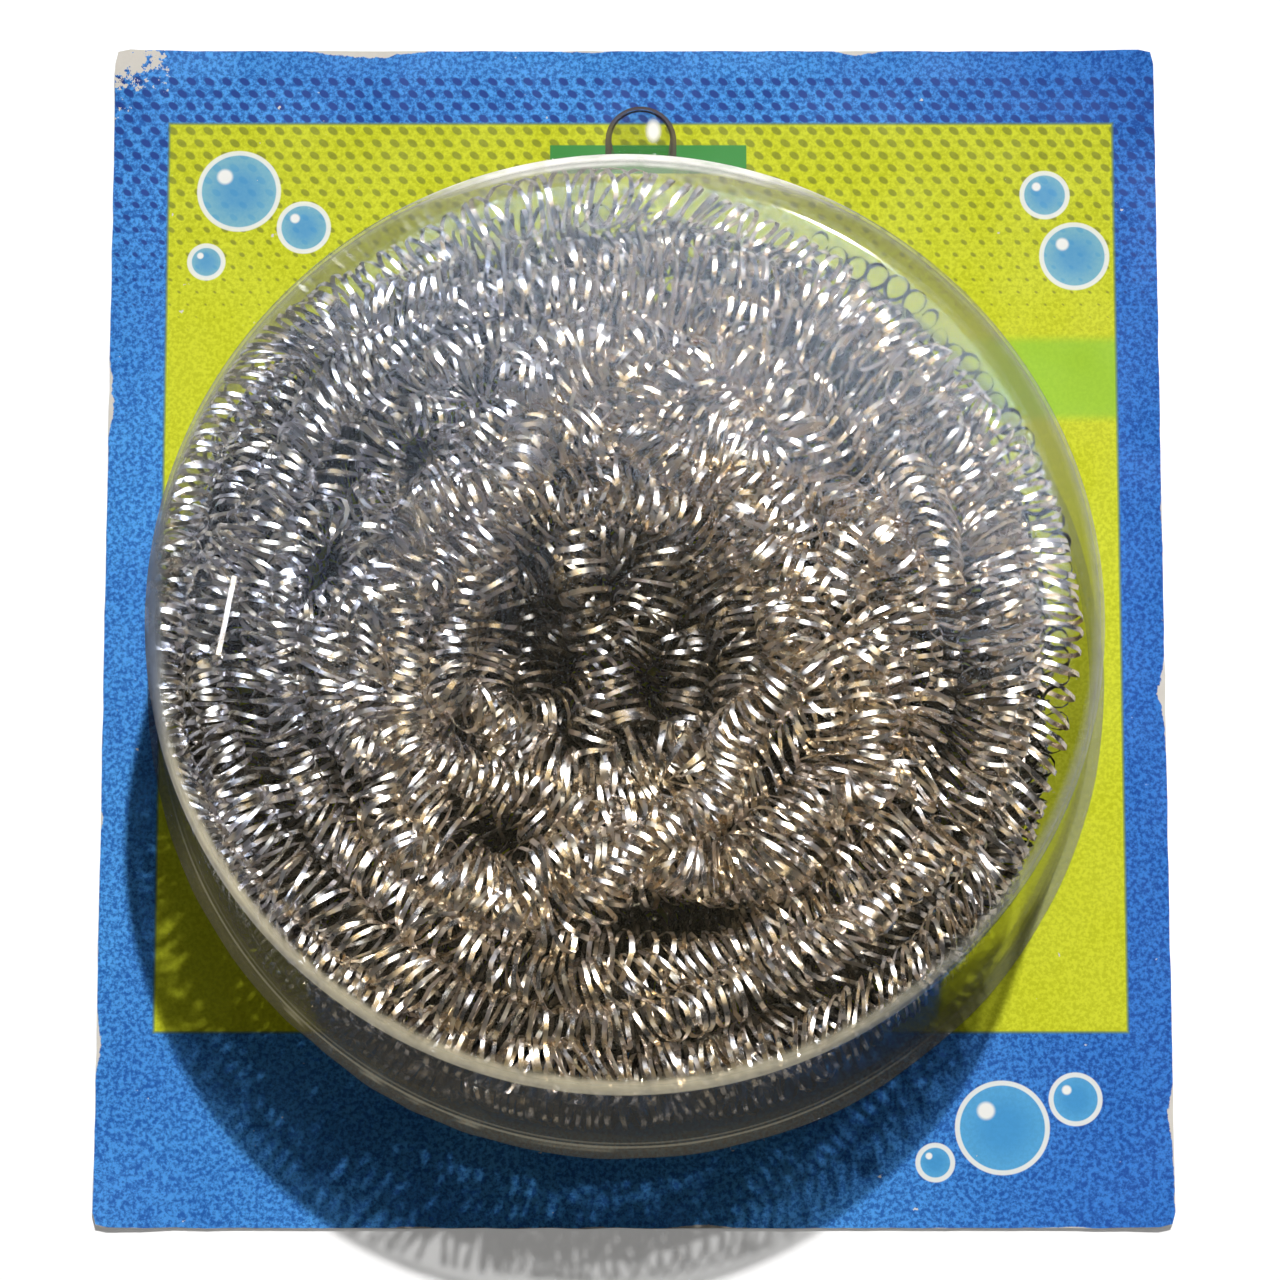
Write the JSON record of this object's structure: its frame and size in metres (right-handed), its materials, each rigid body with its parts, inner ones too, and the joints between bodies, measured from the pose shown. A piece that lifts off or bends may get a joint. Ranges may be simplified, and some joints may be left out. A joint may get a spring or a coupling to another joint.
{
  "type": "pot scrubber",
  "caption": "Coiled steel pot scrubber held under a clear round formed cover on a rectangular printed card; the cover lifts away and the scrubber slides out.",
  "frame": {"origin": "middle of the card's back face", "axes": "+Z out of the cover's face, +Y to the card's top edge, +X to the right of the printed face"},
  "size_m": [0.1058, 0.1198, 0.0358],
  "materials": {
    "card": "printed blue border and lime panel, satin, worn at the edges",
    "clear_plastic": "clear, glossy, thermoformed",
    "steel": "bright rolled stainless ribbon"
  },
  "bodies": {
    "card": {"backing_card": "card"},
    "cover": {"blister_cover": "clear_plastic"},
    "scrubber": {"outer_lower_strand": "steel", "outer_upper_strand": "steel", "middle_lower_strand": "steel", "middle_upper_strand": "steel", "inner_lower_strand": "steel", "inner_upper_strand": "steel"}
  },
  "joints": [
    {"name": "cover_lift", "type": "slide", "parent": "card", "child": "cover", "axis": [0, 0, 1], "range_m": [0, 0.1]},
    {"name": "scrubber_release", "type": "slide", "parent": "cover", "child": "scrubber", "axis": [0, 0, -1], "range_m": [0, 0.05]}
  ],
  "couplings": [
    {"joint": "scrubber_release", "follows": "cover_lift", "ratio": 0.5}
  ]
}
